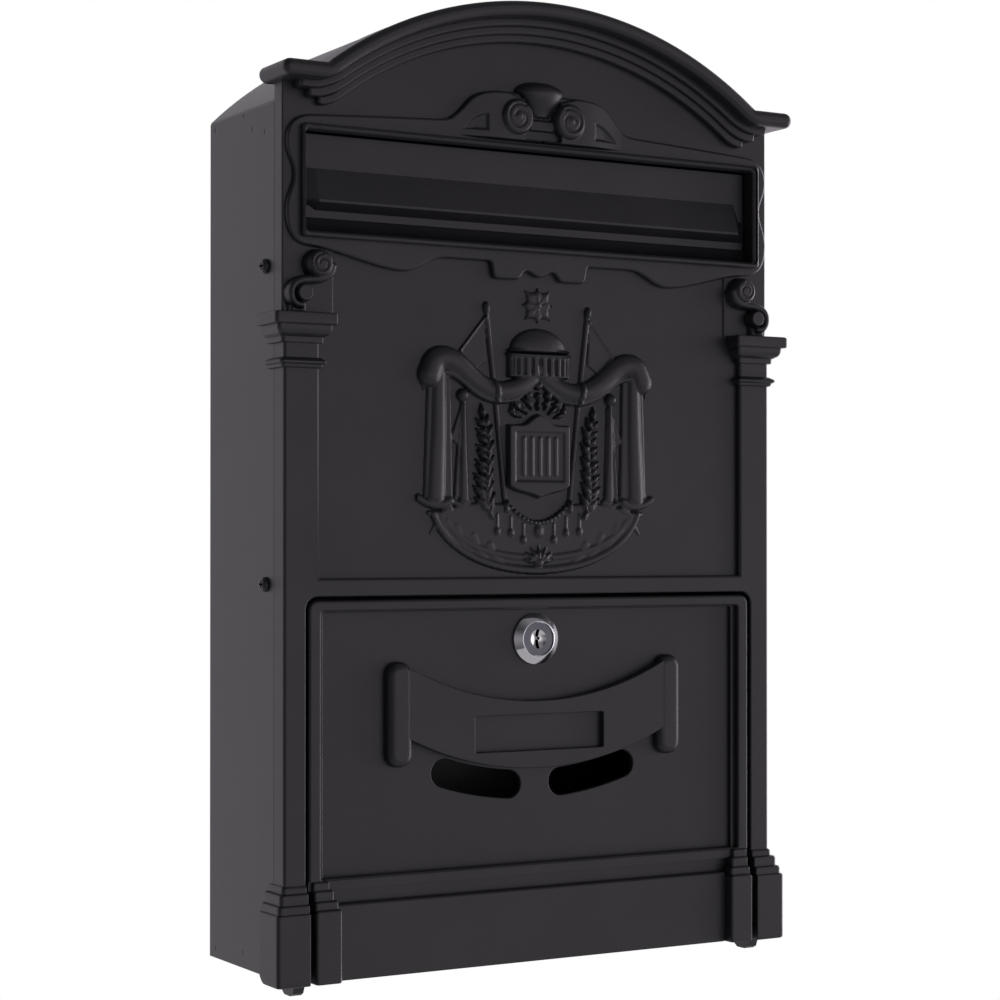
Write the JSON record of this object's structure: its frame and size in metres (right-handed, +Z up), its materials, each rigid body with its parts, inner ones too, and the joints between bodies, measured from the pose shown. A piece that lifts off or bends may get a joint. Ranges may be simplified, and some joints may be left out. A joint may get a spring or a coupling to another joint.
{
  "type": "wall letter box",
  "caption": "Wall-hung letter box with an ornate arched cast front, a flap over its letter slot and a lockable drop-down door, on a black sheet-steel body.",
  "frame": {"origin": "middle of the back panel's outer face, where the box lies against the wall", "axes": "+X to the right of the box seen from the front, +Y into the wall, +Z up; the front faces -Y"},
  "size_m": [0.2546, 0.0882, 0.4139],
  "materials": {
    "cast_black": "satin black powder coat with a fine texture on cast aluminium",
    "sheet_black": "satin black powder coat on sheet steel",
    "lock_chrome": "bright chrome plate",
    "zinc": "zinc-plated steel",
    "screw_black": "black-finished steel"
  },
  "bodies": {
    "root": {"front_frame": "cast_black", "body_wrap": "sheet_black", "back_panel": "sheet_black", "bottom_panel": "sheet_black", "flap_rod": "zinc", "flap_clip_left": "zinc", "flap_clip_right": "zinc", "door_pin_left": "zinc", "door_pin_right": "zinc", "side_screw_left_lower": "screw_black", "side_screw_left_upper": "screw_black", "side_screw_right_lower": "screw_black", "side_screw_right_upper": "screw_black"},
    "door": {"door": "cast_black", "lock_body": "lock_chrome", "lock_washer": "zinc", "lock_nut": "zinc"},
    "flap": {"slot_flap": "cast_black"},
    "lock": {"lock_plug": "lock_chrome", "lock_cam": "zinc", "cam_screw": "zinc"}
  },
  "joints": [
    {"name": "door_hinge", "type": "hinge", "parent": "root", "child": "door", "pos_m": [0, -0.067, -0.2005], "axis": [1, 0, 0], "range_deg": [0, 110]},
    {"name": "flap_hinge", "type": "hinge", "parent": "root", "child": "flap", "pos_m": [0, -0.0665, 0.139], "axis": [-1, 0, 0], "range_deg": [0, 70]},
    {"name": "lock_turn", "type": "hinge", "parent": "door", "child": "lock", "pos_m": [0, -0.066, -0.0673], "axis": [0, 1, 0], "range_deg": [-90, 0]}
  ]
}
